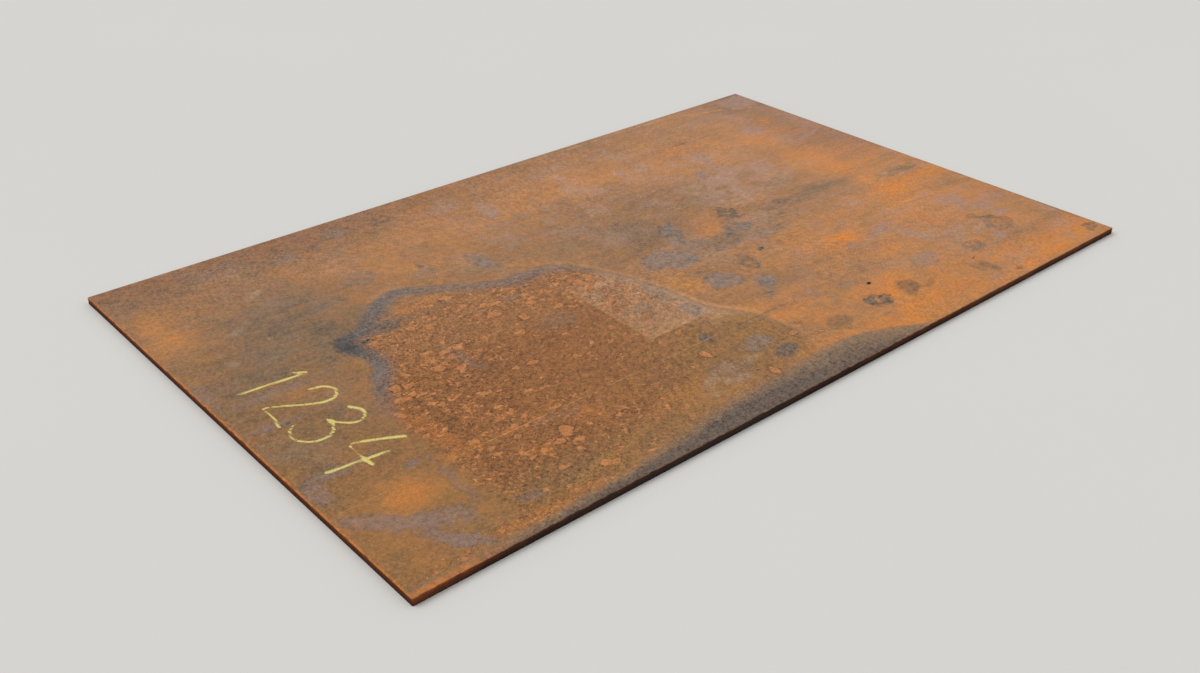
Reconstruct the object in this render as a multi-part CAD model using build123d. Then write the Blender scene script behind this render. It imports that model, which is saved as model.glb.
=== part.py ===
from build123d import *
import os

# A rectangular steel plate lying flat, rolled and cut as one piece.
# Its two long sides are straight, square mill edges.
# Its two short ends are flame cut, so each end face is slightly hollow between two lips.
# The origin is the middle of the underside, X runs along the length and Z points up.

# Driving dimensions in millimetres
plate_length = 2438.4
plate_width = 1524.0
plate_thickness = 19.05

# Corners of the outline, blunted by handling, seen from above
corner_radius = 4.0

# Rounded arrises along the upper and lower rim
top_edge_radius = 1.5
bottom_edge_radius = 1.0

# Hollow of a flame cut end: its depth, and the straight lip that is left above and below it
cut_hollow_depth = 0.8
cut_lip_height = 3.0


def rolled_blank():
    """The flat rectangular plate with blunt outline corners."""
    level = Align.CENTER, Align.CENTER, Align.MIN
    blank = Box(plate_length, plate_width, plate_thickness, align=level)
    return fillet(blank.edges().filter_by(Axis.Z), corner_radius)


def hollow_radius():
    """Radius of the arc that is as deep as the hollow and spans the face between the lips."""
    half_span = plate_thickness / 2 - cut_lip_height
    return (half_span**2 + cut_hollow_depth**2) / (2 * cut_hollow_depth)


def cut_end_hollow(end_sign):
    """The long shallow groove along one flame cut end, as a body to take away."""
    radius = hollow_radius()
    groove_x = end_sign * (plate_length / 2 + radius - cut_hollow_depth)
    groove = Cylinder(radius, plate_width, rotation=(90, 0, 0))
    return Pos(groove_x, 0, plate_thickness / 2) * groove


def rim_edges(plate, height):
    """The edges of the outline that lie at one height."""
    return plate.edges().filter_by_position(Axis.Z, height, height)


def steel_plate():
    """The whole plate: blank, flame cut ends and rounded rims."""
    plate = rolled_blank()
    for end_sign in (-1, 1):
        plate -= cut_end_hollow(end_sign)
    plate = fillet(rim_edges(plate, plate_thickness), top_edge_radius)
    plate = fillet(rim_edges(plate, 0), bottom_edge_radius)
    return plate


os.makedirs("parts", exist_ok=True)
export_step(steel_plate(), "parts/steel_plate.step")
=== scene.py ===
"""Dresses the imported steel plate: its rusted faces, its edges, and the studio that it is shown in."""

import math

import bmesh
import bpy
import numpy as np
from mathutils import Matrix, Vector, noise


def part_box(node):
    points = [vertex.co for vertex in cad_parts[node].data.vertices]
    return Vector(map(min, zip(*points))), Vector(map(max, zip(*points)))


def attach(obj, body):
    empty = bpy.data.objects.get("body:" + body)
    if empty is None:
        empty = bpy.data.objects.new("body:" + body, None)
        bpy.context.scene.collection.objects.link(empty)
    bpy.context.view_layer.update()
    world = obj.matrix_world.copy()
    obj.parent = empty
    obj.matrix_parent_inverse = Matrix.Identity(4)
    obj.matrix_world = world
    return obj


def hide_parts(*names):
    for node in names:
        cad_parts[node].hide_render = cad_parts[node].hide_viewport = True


bl_info = {
    "name": "Rusted steel plate",
    "version": (1, 0, 0),
    "blender": (4, 5, 0),
    "location": "3D View > Sidebar > Plate",
    "description": "Builds a weathered hot rolled plate and the studio that it is shown in",
    "category": "Add Mesh",
}

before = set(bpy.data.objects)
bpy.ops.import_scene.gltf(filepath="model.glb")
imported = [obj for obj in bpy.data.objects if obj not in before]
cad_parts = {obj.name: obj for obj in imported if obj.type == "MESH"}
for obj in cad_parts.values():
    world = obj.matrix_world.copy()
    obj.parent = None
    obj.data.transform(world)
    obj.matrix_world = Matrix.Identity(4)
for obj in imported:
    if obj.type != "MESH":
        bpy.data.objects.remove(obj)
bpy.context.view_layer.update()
plate_low, plate_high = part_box("steel_plate")
plate_length = plate_high.x - plate_low.x
plate_width = plate_high.y - plate_low.y
plate_thickness = plate_high.z - plate_low.z
end_x = plate_length / 2
side_y = plate_width / 2


def from_display(red, green, blue):
    """A colour given as screen values from 0 to 255, as the linear values that shaders take."""
    linear = []
    for channel in (red, green, blue):
        share = channel / 255
        linear.append(share / 12.92 if share <= 0.04045 else ((share + 0.055) / 1.055) ** 2.4)
    return tuple(linear)


# Tones of the rust, the scale and the marks, as they show on a screen
FILM_FAINT = from_display(116, 95, 76)
FILM_THIN = from_display(138, 104, 76)
FILM_WARM = from_display(172, 120, 76)
FILM_THICK = from_display(188, 125, 72)
BACK_BLOOM = from_display(168, 135, 121)
BARE_STREAK = from_display(112, 89, 67)
# Painted sheen: a lighter pinkish tone towards the back
BACK_SHEEN = from_display(190, 140, 106)
STAIN_LIGHT = from_display(167, 114, 70)
STAIN_UPPER = from_display(172, 126, 86)
OLIVE_DARK = from_display(130, 101, 68)
OLIVE_LIGHT = from_display(158, 121, 76)
PALE_BLOCK = from_display(200, 157, 124)
# Painted shade in the crevices and in the gaps round the flecks
CREVICE_SHADE = from_display(92, 58, 38)
FLECK_DARK = from_display(188, 118, 66)
FLECK_LIGHT = from_display(206, 142, 92)
LOOSE_FLECK = from_display(198, 130, 76)
# Painted shade in the gap round each single large fleck
LOOSE_FLECK_SHADE = from_display(88, 58, 40)
BAND_THIN = from_display(130, 108, 88)
BAND_DEEP = from_display(92, 82, 75)
TIDE_THIN = from_display(110, 102, 99)
TIDE_DEEP = from_display(80, 75, 74)
TIDE_HALO = from_display(214, 162, 118)
SMEAR_DIRTY = from_display(106, 95, 84)
SMEAR_CORE = from_display(132, 122, 120)
SMEAR_WARM = from_display(135, 113, 107)
SMEAR_PALE = from_display(170, 136, 120)
SMEAR_RIM = from_display(88, 82, 72)
LIME_SPECK = from_display(184, 162, 140)
SPOT_GREY = from_display(92, 87, 82)
SPOT_BROWN = from_display(94, 84, 69)
RING_CORE = from_display(190, 128, 74)
RING_BODY = from_display(102, 91, 78)
RING_LINE = from_display(74, 68, 60)
BLACK_SCALE = from_display(24, 17, 14)
SCRATCH_LIGHT = from_display(204, 150, 100)
SCRATCH_DARK = from_display(92, 80, 68)
RIM_RUN = from_display(192, 116, 52)
DAMP_RUST = from_display(92, 62, 42)
EDGE_SCALE = from_display(50, 43, 40)
# Glints: painted highlights on the worn upper rims of the sides and ends
EDGE_GLINT = from_display(152, 100, 64)
CORNER_GLINT = from_display(184, 112, 52)
CUT_GLINT = from_display(204, 126, 66)

# Dark to light tones of the two kinds of edge. Both darken towards the bottom as painted shade, and the
# mill edge's dark tones are partly painted shade as well.
MILL_EDGE_SHADED_STOPS = [
    (0.00, from_display(32, 21, 17)),
    (0.35, from_display(54, 33, 24)),
    (0.65, from_display(88, 48, 29)),
    (1.00, from_display(134, 76, 42)),
]
CUT_END_SHADED_STOPS = [
    (0.00, from_display(46, 25, 16)),
    (0.35, from_display(78, 43, 24)),
    (0.65, from_display(120, 64, 32)),
    (1.00, from_display(178, 100, 48)),
]

# Numbers of the four finishes on the mesh
ROLLED_FACE, UNDERSIDE, MILL_EDGE, CUT_END = range(4)

# How strongly the faces and the edges shine
FACE_SPECULAR = 0.22
EDGE_SPECULAR = 0.10

# Places on the rolled face are in millimetres from the middle of the plate, X along its length

def in_metres(lengths, rows):
    """The rows of a table, with the first few numbers of each turned from millimetres to metres."""
    return [(*(value / 1000 for value in row[:lengths]), *row[lengths:]) for row in rows]


# Outline of the stain that a long standing puddle left, with how wide and how dark its tide mark is
# at each point, and how bright the pale line outside it is: x, y, width, darkness, paleness
STAIN_OUTLINE = in_metres(3, [
    (-936, -800, 30, 0, 0), (-936, -488, 30, 0, 0), (-934, -328, 30, 0, 0), (-928, -208, 34, 0.38, 0),
    (-910, -138, 40, 0.62, 0), (-874, -74, 50, 0.85, 0), (-834, -14, 46, 0.9, 0),
    (-838, 32, 46, 0.98, 0), (-858, 74, 60, 1.12, 0), (-866, 118, 70, 1.2, 0),
    (-842, 152, 62, 1.15, 0), (-782, 160, 44, 0.95, 0), (-742, 190, 56, 1, 0),
    (-699, 236, 54, 0.94, 0.1), (-649, 266, 52, 0.92, 0.3), (-605, 280, 46, 0.88, 0.4),
    (-559, 268, 44, 0.86, 0.3), (-509, 236, 40, 0.76, 0.1), (-449, 196, 38, 0.7, 0.1),
    (-389, 162, 40, 0.68, 0.1), (-309, 134, 50, 0.74, 0), (-229, 138, 54, 0.7, 0),
    (-165, 112, 40, 0.62, 0.1), (-124, 62, 30, 0.5, 0.3), (-96, 2, 26, 0.44, 0.4),
    (-68, -68, 26, 0.42, 0.5), (-46, -138, 28, 0.42, 0.6), (-31, -222, 30, 0.42, 0.7),
    (-24, -308, 30, 0.3, 1), (-8, -352, 24, 0.16, 1), (41, -402, 20, 0.12, 0.6),
    (65, -488, 22, 0.16, 0.3), (67, -568, 22, 0.1, 0.2), (45, -628, 20, 0, 0.1), (31, -800, 20, 0, 0),
])

# Edge of the bare grey band along the front: closed by the front edge of the plate
FRONT_BAND = in_metres(2, [
    (-1240, -752), (-980, -745), (-890, -737), (-690, -730), (-540, -715), (-409, -698), (-300, -682),
    (-80, -675), (85, -658), (140, -667), (222, -691), (300, -729), (336, -752), (362, -785),
    (362, -900), (-1240, -900),
])

# Marks are ellipses: x, y, half length, half width, turn in degrees, strength

# Broad zones with more rust (positive strength) or less of it (negative)
RUST_ZONES = in_metres(4, [
    (-870, 390, 150, 160, -10, -0.22), (-970, 210, 170, 110, 0, -0.18),
    (-1110, 690, 160, 80, 0, -0.08), (-900, 640, 140, 80, 0, -0.08), (-1140, -60, 100, 240, 0, -0.12),
    (-1160, 120, 70, 80, 0, -0.12), (-850, 200, 60, 40, 0, -0.1), (-1000, 70, 100, 50, 0, -0.14),
    (-1010, -160, 90, 70, 0, -0.18), (-700, 170, 160, 60, 20, -0.18), (180, 270, 420, 110, -4, -0.13),
    (-300, 220, 80, 40, 0, -0.12), (450, 200, 100, 50, 0, -0.08), (690, 240, 80, 40, 0, -0.14),
    (300, -90, 70, 30, 0, -0.14), (700, -280, 70, 30, 0, -0.1), (1020, 620, 80, 50, 0, -0.12),
    (620, 290, 250, 45, 0, -0.06), (300, 20, 330, 100, -8, -0.06), (560, -90, 240, 30, 0, -0.1),
    (720, -18, 150, 24, 0, -0.34), (1000, -50, 70, 30, 0, 0.14), (900, -26, 110, 18, 0, -0.16),
    (330, -60, 180, 14, 0, -0.08), (780, -80, 160, 20, 0, -0.08), (100, 400, 90, 60, 0, -0.1),
    (100, 130, 90, 80, 0, -0.18), (-300, 600, 80, 50, 0, 0.1), (500, 620, 90, 50, 0, -0.08),
    (740, 105, 90, 40, 0, -0.2), (720, -705, 70, 40, 0, -0.2), (1130, -210, 80, 60, 0, -0.1),
    (-620, 200, 90, 40, 0, -0.1), (1094, -82, 70, 26, 0, -0.3), (1130, -240, 70, 18, 0, -0.14),
    (-700, 710, 260, 80, 0, -0.1), (450, 745, 500, 30, 0, -0.04), (1150, 690, 140, 110, 0, -0.1),
    (640, 150, 190, 70, 0, -0.14), (270, -620, 60, 60, 0, -0.12), (700, -660, 60, 50, 0, -0.14),
    (900, -505, 60, 45, 0, -0.1), (-200, 320, 180, 80, 0, 0.06), (460, 60, 110, 24, 0, 0.1),
    (680, 350, 80, 50, 0, 0.08), (-500, 440, 320, 180, 0, 0.09), (-1150, 425, 44, 140, 0, 0.19),
    (-1170, 610, 50, 40, 0, -0.12), (-1100, 310, 50, 40, 0, 0.12), (-1060, 500, 60, 60, 0, 0.07),
    (700, -600, 110, 40, 0, 0.14), (750, -738, 400, 10, 0, 0.18), (80, 490, 300, 130, 0, 0.14),
    (850, 340, 460, 220, 0, 0.18), (900, 140, 200, 60, 0, 0.16), (1060, 60, 160, 90, 0, 0.26),
    (955, 0, 40, 160, 0, 0.14), (1030, -138, 230, 42, 0, 0.24), (900, -260, 420, 150, 0, 0.13),
    (980, -235, 130, 50, 0, 0.18), (850, -470, 600, 270, 0, 0.14), (1120, -700, 120, 60, 0, 0.24),
    (420, -690, 460, 80, 0, 0.28), (380, -560, 130, 50, 0, 0.2), (900, -690, 200, 60, 0, 0.18),
    (480, -290, 120, 70, 0, 0.1), (320, 8, 70, 32, 10, 0.2), (20, -200, 40, 70, 10, 0.16),
    (120, -460, 100, 90, 0, 0.18), (-1050, -500, 100, 90, 0, 0.2), (-530, -625, 330, 16, 17, 0.22),
    (-300, -600, 100, 60, 0, 0.18), (-800, -130, 70, 80, 0, 0.22), (-40, -500, 110, 60, 0, 0.16),
    (-480, -500, 90, 60, 0, 0.12), (-710, -430, 130, 160, 0, 0.16), (-500, -300, 100, 50, 0, 0.12),
])

# Where violet grey blooms gather (positive strength) or stay away (negative)
BLOOM_ZONES = in_metres(4, [
    (450, 425, 140, 80, -15, 0.72), (380, 520, 140, 50, 0, 0.25), (690, 220, 130, 100, 0, 1),
    (500, 175, 120, 70, 0, 0.5), (590, 65, 70, 42, 0, 0.85), (600, 385, 70, 60, 0, 0.5),
    (60, 290, 140, 70, 0, 0.42), (80, 110, 90, 40, 0, 0.35), (1000, 570, 80, 80, 0, 0.4),
    (640, -560, 80, 60, 0, 0.3), (900, -500, 80, 50, 0, 0.4), (980, -400, 120, 60, 0, 0.25),
    (320, -130, 140, 30, 0, 0.3), (-920, 430, 130, 100, 0, 0.62), (-900, 700, 120, 60, 0, 0.45),
    (-230, 295, 180, 60, 0, 0.45), (-945, -80, 60, 80, 0, 0.5), (-980, 150, 110, 80, 0, 0.4),
    (-1110, -200, 90, 100, 0, 0.85), (-1170, 400, 40, 60, 0, 0.2), (890, 315, 110, 60, 0, -0.7),
    (880, 90, 140, 60, 0, -0.35), (690, 610, 200, 110, 0, -0.28), (300, 100, 90, 50, 0, -0.3),
    (350, 705, 480, 60, 0, -0.45), (980, -60, 200, 90, 0, -0.6), (1150, -350, 90, 200, 0, -0.4),
    (-1090, -520, 130, 140, 0, -0.5),
])

# Bright patches of fresh orange rust
RUST_PATCHES = in_metres(4, [
    (548, -274, 68, 52, -25, 1.65), (500, -255, 110, 80, -20, 0.36), (-1045, -495, 56, 54, 0, 0.7),
    (-885, -335, 28, 150, 3, 0.42), (-1150, 520, 40, 90, 0, 0.25), (651, 507, 55, 34, 0, 0.45),
    (728, 479, 36, 28, 0, 0.5), (539, 472, 50, 44, 0, 0.45), (1092, 493, 38, 34, 0, 0.5),
    (945, 395, 80, 40, -15, 0.4), (966, 227, 90, 50, 0, 0.4), (1071, 276, 50, 14, 0, 0.5),
    (1037, -141, 120, 22, 0, 0.6), (1181, -171, 50, 28, 0, 0.9), (936, -165, 30, 90, 0, 0.4),
    (410, -545, 120, 50, 0, 0.75), (466, -675, 80, 35, 0, 0.8), (660, -700, 100, 30, 0, 0.4),
    (850, -560, 40, 20, 0, 0.6), (173, -550, 70, 28, 0, 0.4), (107, -645, 70, 12, 0, 0.9),
    (260, -700, 50, 10, -25, 0.6), (310, 4, 56, 28, 10, 0.4), (-870, -443, 48, 10, 0, 0.9),
    (-721, -449, 30, 6, 0, 0.9), (-565, -500, 14, 14, 0, 0.8), (-740, -552, 14, 13, 0, 0.7),
    (-616, 167, 30, 16, 0, 0.5), (-549, 167, 24, 14, 0, 0.5), (-860, -718, 160, 12, 0, 0.6),
])

# Violet grey smears, where the damp rust film was wiped thin
SMEARS = in_metres(4, [
    (-1100, -565, 140, 27, -37, 0.84), (-1055, -672, 80, 25, -52, 0.84),
    (-1010, -610, 46, 18, -38, 0.8), (-990, -405, 16, 14, 0, 0.9), (-955, -530, 10, 90, 0, 0.6),
    (-862, -660, 28, 18, -20, 0.7), (-1060, 28, 130, 16, 0, 0.6), (-1150, -92, 70, 14, 0, 0.8),
    (-1190, -374, 26, 50, 0, 0.7), (-1120, -330, 90, 16, 0, 0.6), (-1196, 120, 22, 60, 0, 0.5),
    (-652, -118, 48, 8, 98, 1), (-640, -180, 30, 8, 110, 0.7), (-361, -131, 60, 46, 0, 0.22),
    (-381, 46, 26, 16, 0, 0.6), (-68, -318, 22, 34, 0, 0.9), (-75, -200, 20, 60, 0, 0.5),
    (-150, -225, 40, 30, 0, 0.5), (-58, -536, 44, 36, 0, 0.74), (-203, -590, 70, 50, 0, 0.3),
    (-640, -470, 60, 16, 0, 0.4), (128, -98, 40, 34, 0, 1.2), (88, -66, 82, 58, -20, 0.84),
    (119, -252, 52, 48, -30, 1.05), (206, 40, 84, 30, 62, 1.2), (195, -22, 34, 18, 70, 1.1),
    (350, -46, 46, 16, 48, 1.2), (400, -47, 30, 28, 0, 0.9), (266, -110, 56, 16, -10, 0.7),
    (230, -60, 60, 26, 0, 0.5), (450, -130, 60, 24, 0, 0.5), (199, -326, 46, 28, 60, 1.2),
    (160, -382, 34, 10, 42, 1), (248, -266, 22, 10, 40, 0.8), (256, -460, 34, 18, 0, 0.6),
    (350, -480, 30, 22, 0, 0.5), (662, -335, 84, 16, 20, 0.85), (555, -340, 34, 22, 0, 0.5),
    (747, -410, 72, 20, -74, 0.8), (1019, -332, 54, 50, 20, 0.8), (1140, -410, 90, 20, 5, 0.5),
    (1069, -472, 24, 19, 0, 0.8), (637, -529, 54, 30, 0, 0.7), (931, -570, 28, 20, 20, 0.8),
    (791, -507, 13, 11, 0, 0.8), (697, -716, 22, 11, 10, 0.8), (620, -230, 40, 12, 30, 0.5),
    (850, -290, 50, 22, 0, 0.4), (880, -680, 70, 30, 0, 0.25), (1120, -650, 60, 40, 0, 0.4),
    (-316, 262, 26, 60, 0, 0.9), (-101, 521, 30, 66, -10, 0.8), (-52, 430, 13, 30, 0, 0.8),
    (-186, 626, 64, 40, 30, 0.5), (231, 640, 100, 34, 0, 0.35), (60, 690, 80, 26, 0, 0.28),
    (679, 388, 78, 14, 76, 1), (581, 297, 48, 16, 45, 0.9), (1120, 315, 80, 12, 10, 1),
    (1183, 381, 42, 34, 0, 0.5), (994, 472, 42, 46, 0, 0.7), (1160, 690, 80, 60, 0, 0.8),
    (900, 640, 100, 30, 10, 0.4), (-450, 310, 14, 46, 0, 0.8), (-480, 300, 34, 20, 30, 0.6),
    (-627, 390, 54, 38, 0, 0.45), (-527, 677, 40, 22, 0, 0.8), (-713, 625, 50, 30, 0, 0.5),
    (-933, 673, 30, 22, 0, 0.5), (-760, 330, 60, 40, 0, 0.3),
])

# Pale specks of lime and dust
PALE_SPOTS = in_metres(4, [
    (-1013, 337, 26, 11, 10, 0.3), (-1093, 260, 8, 12, 0, 0.4), (-957, 263, 11, 8, 0, 0.36),
    (-1083, 203, 14, 13, 0, 0.28), (-893, 482, 32, 7, 42, 0.34), (-870, 500, 12, 8, 0, 0.3),
    (1037, -74, 12, 10, 0, 0.45), (1080, -102, 16, 10, 0, 0.35), (470, 240, 50, 30, 0, 0.14),
    (-200, -100, 20, 14, 0, 0.35), (-150, -60, 18, 12, 0, 0.35), (-272, -592, 30, 14, 20, 0.26),
    (-214, -622, 36, 13, -12, 0.22), (-196, -574, 24, 15, 30, 0.2), (-300, -634, 22, 11, 0, 0.18),
    (-120, -580, 26, 16, 0, 0.24),
])

# Small dark grey spots
DARK_SPOTS = in_metres(4, [
    (-135, -440, 18, 20, 0, 1.1), (-30, -609, 40, 28, 8, 0.95), (175, -607, 40, 34, 0, 0.62),
    (469, -598, 34, 34, 20, 0.85), (455, -622, 30, 16, 0, 0.75), (515, -625, 40, 8, 10, 0.6),
    (700, -647, 14, 34, 0, 0.5), (736, -668, 16, 36, 0, 0.8), (787, -732, 13, 10, 0, 0.8),
    (972, -446, 20, 18, 0, 0.6), (995, -474, 36, 10, -48, 1), (721, 531, 30, 14, 0, 0.7),
    (337, -184, 16, 9, 50, 1.2), (-20, -462, 100, 6, -1, 0.5), (100, -449, 45, 6, -1, 0.6),
    (-784, 92, 12, 8, 25, 1.6), (-690, 130, 24, 16, 0, 1.1), (-740, 132, 70, 14, 3, 1),
    (-716, 116, 50, 22, 0, 0.95), (-640, 128, 50, 12, 0, 0.5), (-560, 128, 60, 12, 0, 0.4),
    (-668, 170, 30, 9, 100, 0.5), (-456, 400, 8, 80, -2, 0.5), (-453, 343, 10, 12, 0, 0.8),
    (-610, 652, 36, 12, 20, 0.6), (-640, 640, 20, 8, -30, 0.6), (-560, 600, 6, 14, -20, 0.7),
    (-367, 660, 30, 14, 0, 0.5), (560, -60, 18, 8, 20, 0.6), (620, 0, 30, 14, 0, 0.7),
    (1215, -560, 4, 170, 0, 0.6), (600, -240, 14, 8, 0, 0.4), (450, -450, 20, 14, 0, 0.4),
    (1020, -680, 14, 8, 0, 0.4),
])

# Single flecks of lifted scale, large enough to be seen one by one
LOOSE_FLECKS = in_metres(4, [
    (-195, -494, 11, 19, 0, 0.9), (-121, -653, 11, 23, 0, 0.9), (46, -562, 12, 10, 0, 0.8),
    (-657, -524, 17, 23, -10, 0.9), (-697, -549, 18, 11, 0, 0.8), (-752, -474, 12, 10, 0, 0.8),
    (-537, -252, 17, 10, 0, 0.8), (-724, -128, 18, 14, 0, 0.8), (-850, -136, 16, 16, 0, 0.8),
    (-413, -62, 14, 18, 0, 0.8), (-330, -300, 10, 8, 0, 0.6),
])

# Deep black points of bare scale
BLACK_POINTS = in_metres(4, [
    (401, -518, 8, 5.4, 20, 1), (-792, 91, 4.6, 3.4, 0, 0.8), (-780, 95, 6, 3, 30, 0.85),
    (-769, 88, 3.2, 3, 0, 0.7), (744, -611, 9, 3, 25, 0.6), (340, -186, 6, 4, 50, 0.45),
    (-8, -617, 5, 3, 0, 0.6),
])

# Blotches of lifted scale with a rusty core: the half sizes are those of the whole blotch
RINGS = in_metres(4, [
    (434, 46, 46, 38, 70, 1.15), (250, -219, 46, 30, 62, 0.85), (350, -594, 38, 36, 0, 1.4),
    (816, -563, 38, 30, 0, 0.75), (1000, -522, 50, 44, 60, 0.7), (1178, -713, 30, 24, 20, 0.9),
    (-379, 672, 36, 33, 0, 0.4), (311, 409, 40, 36, 0, 0.35), (-80, -395, 16, 14, 0, 0.5),
])

# How thickly orange flecks of lifted scale lie in and around the stain
FLECK_ZONES = in_metres(4, [
    (-660, 50, 170, 75, 0, 1), (-480, 55, 150, 80, 0, 1), (-320, 50, 100, 70, 0, 0.9),
    (-190, 10, 90, 80, -20, 0.95), (-170, -100, 80, 60, 0, 0.8), (-110, -170, 50, 60, 0, 0.6),
    (-780, -60, 60, 90, -30, 0.9), (-860, -230, 75, 120, -10, 0.95), (-880, -400, 55, 110, 0, 0.9),
    (-720, -200, 120, 120, 0, 0.62), (-760, -420, 110, 100, 0, 0.55), (-560, -100, 130, 90, 0, 0.5),
    (-560, -330, 220, 160, 0, 0.34), (-300, -230, 120, 180, 0, 0.26), (-700, -580, 240, 80, 0, 0.55),
    (-380, -520, 200, 80, 0, 0.22), (-590, 170, 70, 30, 0, 0.35), (-120, -280, 80, 80, 0, 0.4),
    (-640, -690, 280, 24, 0, 0.3),
])

# Flecks that lie outside the stain
FLECK_SPILL = in_metres(4, [
    (-900, -718, 190, 14, 0, 1), (-1060, -735, 100, 10, 0, 0.6), (80, -560, 30, 60, 0, 0.3),
])

# Thin scratches: x and y of the start, x and y of the end, half width, strength.
# Light ones have a positive strength, dark ones a negative one.
SCRATCHES = in_metres(5, [
    (-1190, -457, -930, -455, 1.1, 0.3), (-930, -449, -110, -447, 1.2, 0.55),
    (-107, -447, 140, -449, 1.3, -0.55), (-243, -350, -243, -20, 2.6, 0.3),
    (-243, -354, -110, -354, 2.6, 0.25), (350, 742, 850, 736, 3.4, 0.4),
    (850, 736, 1050, 675, 4.4, 0.5), (1050, 675, 1155, 626, 5, 0.4),
])

# A plain count written by hand in yellow paint marker: the points of each stroke,
# first along the line of writing and then up it
PAINTED_STROKES = [
    [(4, 150), (26, 186), (14, 92), (6, 4)],
    [(92, 140), (98, 172), (126, 190), (158, 176), (164, 142), (140, 96)]
    + [(108, 48), (90, 14), (132, 22), (186, 12)],
    [(214, 172), (244, 192), (276, 178), (280, 146), (252, 118), (228, 110)],
    [(228, 110), (270, 104), (292, 74), (284, 34), (250, 10), (212, 20), (198, 44)],
    [(396, 206), (366, 152), (338, 92), (380, 88), (440, 94)],
    [(420, 150), (412, 90), (402, 2)],
]
WRITING_START = (-1143, 82)


# The pale block at the right of the stain: its left and front sides, in metres
BLOCK_LEFT = -0.243
BLOCK_FRONT = -0.356


# Settings

def length_setting(name, description, default):
    """A length in the sidebar, in metres."""
    return bpy.props.FloatProperty(
        name=name, description=description, default=default, subtype="DISTANCE", unit="LENGTH"
    )


def colour_setting(name, description, default):
    """A colour in the sidebar."""
    return bpy.props.FloatVectorProperty(
        name=name, description=description, default=default, size=3, subtype="COLOR"
    )


class PlateShape(bpy.types.PropertyGroup):
    """Sizes of the plate's mesh and of the relief in it."""

    cell: length_setting(
        "Cell", "Width of the cells on the underside, four of the rolled face's", 0.032
    )
    corner_radius: length_setting(
        "Corner radius", "Radius of the outline's corners, seen from above", 0.004
    )
    top_rounding: length_setting("Top rounding", "Radius of the upper rim", 0.0015)
    bottom_rounding: length_setting("Bottom rounding", "Radius of the lower rim", 0.001)
    cut_lip: length_setting(
        "Cut lip", "Height of the straight lips above and below the hollow of a flame cut end", 0.003
    )
    cut_hollow: length_setting("Cut hollow", "Depth of the hollow of a flame cut end", 0.0008)
    wave_depth: length_setting(
        "Wave depth", "Depth of the slow waves that rolling leaves in the upper face", 0.0006
    )
    nick_depth: length_setting("Nick depth", "Depth of the deepest nicks in the rim", 0.0006)


class PlateFinish(bpy.types.PropertyGroup):
    """Colours of the plate's finish."""

    scale_grey: colour_setting(
        "Mill scale", "Grey oxide that rolling leaves, where it is still bare", from_display(92, 87, 82)
    )
    film_brown: colour_setting(
        "Brown film", "Thin brown rust over most of the face", from_display(154, 111, 75)
    )
    rust_orange: colour_setting("Orange rust", "Thick fresh rust", from_display(204, 126, 56))
    stain_brown: colour_setting(
        "Stain", "Dark brown ground of the puddle stain", from_display(146, 95, 57)
    )
    smear_violet: colour_setting("Smears", "Violet grey of wiped rust", from_display(138, 121, 111))
    paint_yellow: colour_setting(
        "Paint marker", "Pale yellow of the written count", from_display(222, 208, 120)
    )


class StudioLook(bpy.types.PropertyGroup):
    """The floor, the light and the camera."""

    floor_size: length_setting("Floor size", "Length of each side of the square floor", 60.0)
    floor_colour: colour_setting(
        "Floor", "Colour of the floor and of the backdrop", from_display(214, 213, 210)
    )
    sky_strength: bpy.props.FloatProperty(
        name="Sky",
        description="Strength of the even light from all round",
        default=0.72,
    )
    lamp_strength: bpy.props.FloatProperty(
        name="Lamp strength",
        description="Strength of the soft key lamp",
        default=1.15,
    )
    lamp_spread: bpy.props.FloatProperty(
        name="Lamp spread",
        description="How wide the key lamp looks from the plate",
        default=math.radians(40),
        subtype="ANGLE",
        unit="ROTATION",
    )
    lamp_from: bpy.props.FloatVectorProperty(
        name="Lamp from",
        description="The side that the key light comes from",
        default=(-0.55, 0.55, 1.0),
        size=3,
        subtype="DIRECTION",
    )
    camera_place: bpy.props.FloatVectorProperty(
        name="Camera place",
        description="Where the camera stands",
        default=(-2.1128, -2.3120, 1.6005),
        size=3,
        subtype="TRANSLATION",
    )
    camera_target: bpy.props.FloatVectorProperty(
        name="Camera target",
        description="The point that the camera looks at",
        default=(-0.3331, -0.2643, 0.01905),
        size=3,
        subtype="TRANSLATION",
    )
    camera_roll: bpy.props.FloatProperty(
        name="Camera roll",
        description="How far the camera is turned about its line of sight",
        default=math.radians(0.21),
        subtype="ANGLE",
        unit="ROTATION",
    )
    camera_lens: bpy.props.FloatProperty(
        name="Focal length",
        description="Focal length of the camera, for a sensor 36 mm wide",
        default=37.94,
        subtype="DISTANCE_CAMERA",
        unit="CAMERA",
    )


# Shader maths

class Signal:
    """An output socket of a material. Arithmetic on it adds the Math nodes."""

    def __init__(self, tree, socket):
        self.tree = tree
        self.socket = socket

    def __add__(self, other):
        return self.tree.math("ADD", self, other)

    def __radd__(self, other):
        return self.tree.math("ADD", other, self)

    def __sub__(self, other):
        return self.tree.math("SUBTRACT", self, other)

    def __rsub__(self, other):
        return self.tree.math("SUBTRACT", other, self)

    def __mul__(self, other):
        return self.tree.math("MULTIPLY", self, other)

    def __rmul__(self, other):
        return self.tree.math("MULTIPLY", other, self)

    def __truediv__(self, other):
        return self.tree.math("DIVIDE", self, other)

    def __neg__(self):
        return self.tree.math("MULTIPLY", self, -1.0)


def full(colour):
    """A plain colour with its alpha; a signal stays as it is."""
    return colour if isinstance(colour, Signal) else (*colour[:3], 1.0)


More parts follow.
